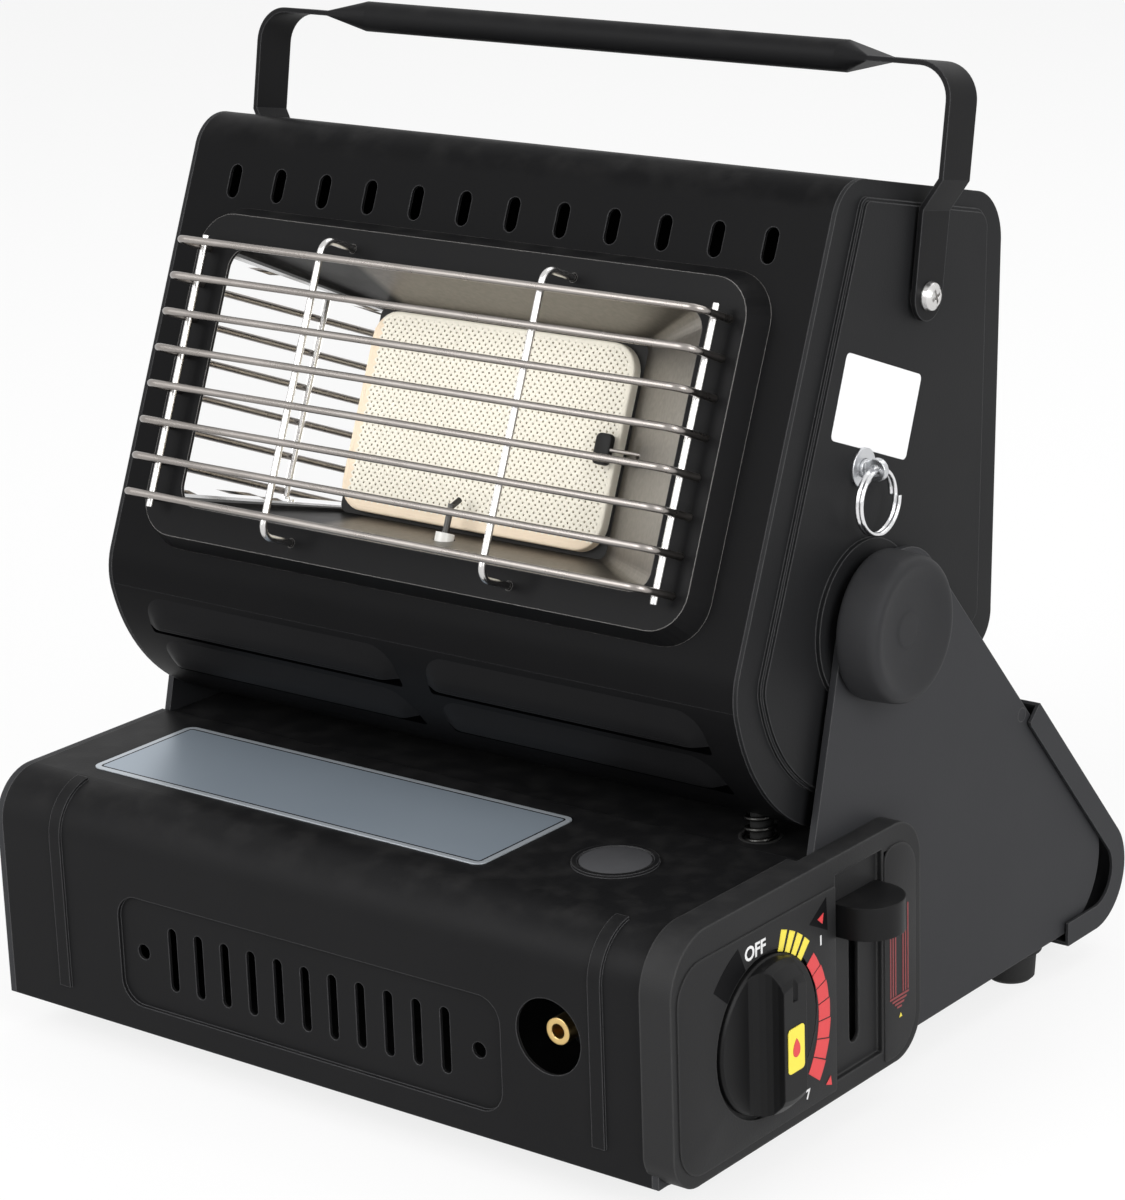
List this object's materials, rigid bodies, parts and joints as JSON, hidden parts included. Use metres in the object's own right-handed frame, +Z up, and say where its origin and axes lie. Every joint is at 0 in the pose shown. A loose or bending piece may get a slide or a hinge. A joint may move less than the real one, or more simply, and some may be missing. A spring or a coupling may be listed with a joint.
{
  "type": "portable gas heater",
  "caption": "Tabletop cartridge heater: folded steel base with control panel, tilting radiant head with reflector and wire guard, hinged cartridge lid and swinging carry handle.",
  "frame": {"origin": "Centre of the bounding box at floor level, under the feet.", "axes": "+X to the control panel end, +Y to the back, +Z up; the radiant face looks along -Y and upwards."},
  "size_m": [0.2598, 0.2312, 0.2748],
  "materials": {
    "black_coat": "satin black powder coat with a fine grain",
    "grey_coat": "satin dark grey powder coat with a fine grain",
    "panel_plastic": "spark-textured moulded plastic",
    "knob_plastic": "smooth moulded heat-resistant plastic",
    "cast_alloy": "die-cast alloy",
    "brass": "turned brass",
    "copper_pipe": "drawn copper pipe",
    "black_rubber": "matt black rubber",
    "plain_steel": "zinc-plated steel",
    "bright_steel": "polished stainless steel",
    "plaque_ceramic": "porous cream burner ceramic",
    "insulator_ceramic": "white glazed insulator"
  },
  "bodies": {
    "base": {"base_shell": "black_coat", "base_floor": "black_coat", "side_plate_left": "grey_coat", "side_plate_right": "grey_coat", "bay_roof": "black_coat", "control_panel": "panel_plastic", "gas_valve": "cast_alloy", "gas_inlet": "brass", "piezo_igniter": "panel_plastic", "cartridge_socket": "cast_alloy", "cartridge_cradle": "black_coat", "inlet_pipe": "copper_pipe", "outlet_pipe": "copper_pipe", "hose_grommet": "black_rubber", "foot_front_left": "black_rubber", "foot_front_right": "black_rubber", "foot_rear_left": "black_rubber", "foot_rear_right": "black_rubber", "lid_pin_left": "plain_steel", "lid_pin_right": "plain_steel", "gas_hose": "black_rubber", "hose_coil": "plain_steel"},
    "lid": {"rear_lid": "black_coat"},
    "knob": {"gas_knob": "knob_plastic", "knob_stem": "plain_steel"},
    "lever": {"lock_lever": "knob_plastic"},
    "yoke": {"cartridge_yoke": "plain_steel"},
    "head": {"head_wrap": "black_coat", "head_end_left": "grey_coat", "head_end_right": "grey_coat", "head_back": "black_coat", "burner_bezel": "black_coat", "reflector": "bright_steel", "ceramic_plaque": "plaque_ceramic", "burner_box": "plain_steel", "mixer_tube": "plain_steel", "gas_jet": "brass", "spark_insulator": "insulator_ceramic", "spark_electrode": "plain_steel", "flame_sensor": "plain_steel", "guard_rails": "bright_steel", "guard_end_bars": "bright_steel", "guard_hook_bars": "bright_steel", "pivot_stud_left": "plain_steel", "pivot_stud_right": "plain_steel", "pin_guide": "plain_steel", "handle_screw_left": "bright_steel", "handle_screw_right": "bright_steel", "handle_washer_left": "plain_steel", "handle_washer_right": "plain_steel"},
    "left_tilt_knob": {"tilt_knob_left": "knob_plastic"},
    "right_tilt_knob": {"tilt_knob_right": "knob_plastic"},
    "pin": {"pull_pin": "plain_steel"},
    "ring": {"pull_ring": "bright_steel"},
    "handle": {"carry_handle": "black_coat"}
  },
  "joints": [
    {"name": "head_tilt", "type": "hinge", "parent": "base", "child": "head", "pos_m": [-0.0033, -0.0144, 0.132], "axis": [1, 0, 0], "range_deg": [-20, 22], "deforming": ["gas_hose", "hose_coil"]},
    {"name": "lid_hinge", "type": "hinge", "parent": "base", "child": "lid", "pos_m": [-0.0033, 0.05933, 0.08564], "axis": [1, 0, 0], "range_deg": [0, 95]},
    {"name": "gas_knob_turn", "type": "hinge", "parent": "base", "child": "knob", "pos_m": [0.1167, -0.0754, 0.041], "axis": [1, 0, 0], "range_deg": [-135, 0]},
    {"name": "lever_slide", "type": "slide", "parent": "base", "child": "lever", "axis": [0, 0, 1], "range_m": [-0.034, 0]},
    {"name": "yoke_slide", "type": "slide", "parent": "base", "child": "yoke", "axis": [1, 0, 0], "range_m": [0, 0.006]},
    {"name": "handle_swing", "type": "hinge", "parent": "head", "child": "handle", "pos_m": [-0.0033, 0.0136, 0.2124], "axis": [1, 0, 0], "range_deg": [-78, 75]},
    {"name": "left_knob_turn", "type": "hinge", "parent": "head", "child": "left_tilt_knob", "pos_m": [-0.1233, -0.0144, 0.132], "axis": [1, 0, 0], "range_deg": [-180, 180]},
    {"name": "right_knob_turn", "type": "hinge", "parent": "head", "child": "right_tilt_knob", "pos_m": [0.1167, -0.0144, 0.132], "axis": [1, 0, 0], "range_deg": [-180, 180]},
    {"name": "pin_pull", "type": "slide", "parent": "head", "child": "pin", "axis": [1, 0, 0], "range_m": [0, 0.006], "stiffness_N_per_m": 300, "springref_m": -0.003},
    {"name": "ring_swing", "type": "hinge", "parent": "pin", "child": "ring", "pos_m": [0.1116, -0.0144, 0.173], "axis": [0, -1, 0], "range_deg": [0, 90]}
  ],
  "couplings": [
    {"joint": "yoke_slide", "follows": "lever_slide", "ratio": -0.176}
  ]
}
